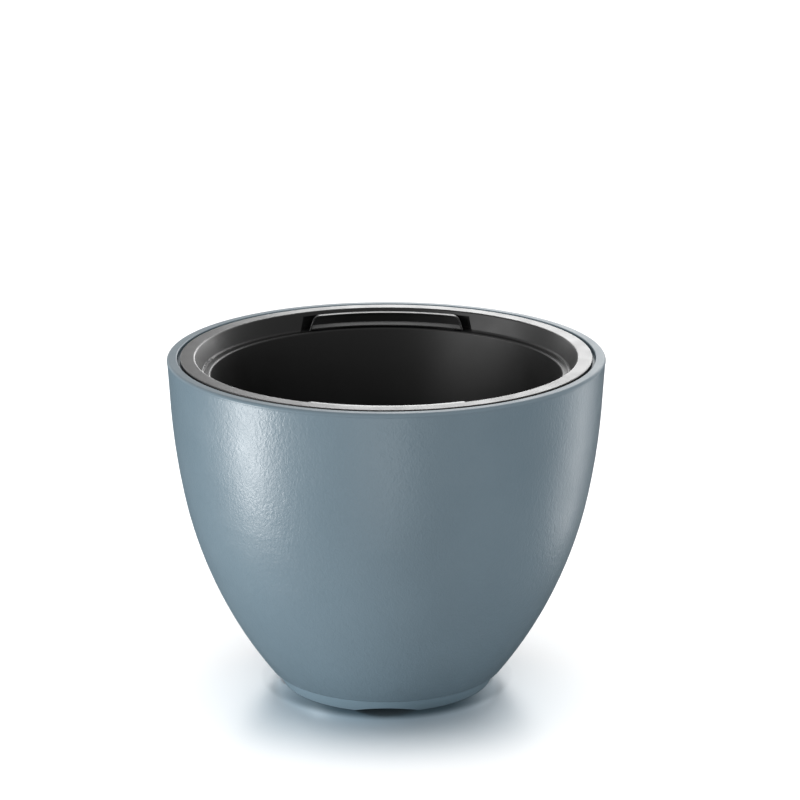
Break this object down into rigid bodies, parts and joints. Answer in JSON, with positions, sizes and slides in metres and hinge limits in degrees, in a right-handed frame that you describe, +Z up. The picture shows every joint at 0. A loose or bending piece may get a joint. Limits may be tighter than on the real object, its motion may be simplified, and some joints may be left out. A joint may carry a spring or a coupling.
{
  "type": "self watering planter",
  "caption": "Round bowl-shaped planter with a lift-out liner, pull-up handles, a water reservoir with wick cups, a filling shaft with flap and a float gauge.",
  "frame": {"origin": "centre of the pot on the floor it stands on", "axes": "+Z up along the pot's axis, +Y towards the rear handle, -Y towards the front with the filling shaft"},
  "size_m": [0.37, 0.37, 0.2877],
  "materials": {
    "pot_shell": "satin gloss with fine leather grain",
    "pot_foot": "smooth satin gloss",
    "liner_black": "satin moulded",
    "handle_black": "satin moulded",
    "inner_black": "fine matte",
    "felt": "pressed felt",
    "seal_rubber": "matte",
    "clear_tube": "clear moulded",
    "float_foam": "closed cell foam",
    "rod_white": "smooth",
    "marker_red": "gloss",
    "pin_steel": "drawn wire"
  },
  "bodies": {
    "pot": {"outer_pot": "pot_shell", "foot_ring": "pot_foot"},
    "drain_plug": {"drain_plug": "inner_black", "drain_plug_seal": "seal_rubber"},
    "liner": {"liner": "liner_black", "wick_cup_rear": "inner_black", "wick_cup_left": "inner_black", "wick_cup_right": "inner_black", "wick_felt_rear": "felt", "wick_felt_left": "felt", "wick_felt_right": "felt", "watering_shaft": "inner_black", "shaft_strainer": "inner_black", "gauge_cap": "inner_black", "lid_hinge_pin": "pin_steel", "gauge_tube": "clear_tube"},
    "handle_rear": {"handle_rear": "handle_black"},
    "handle_front": {"handle_front": "handle_black"},
    "shaft_lid": {"shaft_lid": "inner_black"},
    "gauge_float": {"gauge_float": "float_foam", "gauge_rod": "rod_white", "gauge_marker": "marker_red"}
  },
  "joints": [
    {"name": "liner_lift", "type": "slide", "parent": "pot", "child": "liner", "axis": [0, 0, 1], "range_m": [0, 0.3]},
    {"name": "drain_plug_pull", "type": "slide", "parent": "pot", "child": "drain_plug", "axis": [0, 0, 1], "range_m": [0, 0.02]},
    {"name": "handle_rear_pull", "type": "slide", "parent": "liner", "child": "handle_rear", "axis": [0, 0, 1], "range_m": [0, 0.028]},
    {"name": "handle_front_pull", "type": "slide", "parent": "liner", "child": "handle_front", "axis": [0, 0, 1], "range_m": [0, 0.028]},
    {"name": "shaft_lid_hinge", "type": "hinge", "parent": "liner", "child": "shaft_lid", "pos_m": [0.001, -0.084, 0.2567], "axis": [0, 1, 0], "range_deg": [0, 100]},
    {"name": "gauge_float_rise", "type": "slide", "parent": "liner", "child": "gauge_float", "axis": [0, 0, 1], "range_m": [0, 0.038]}
  ]
}
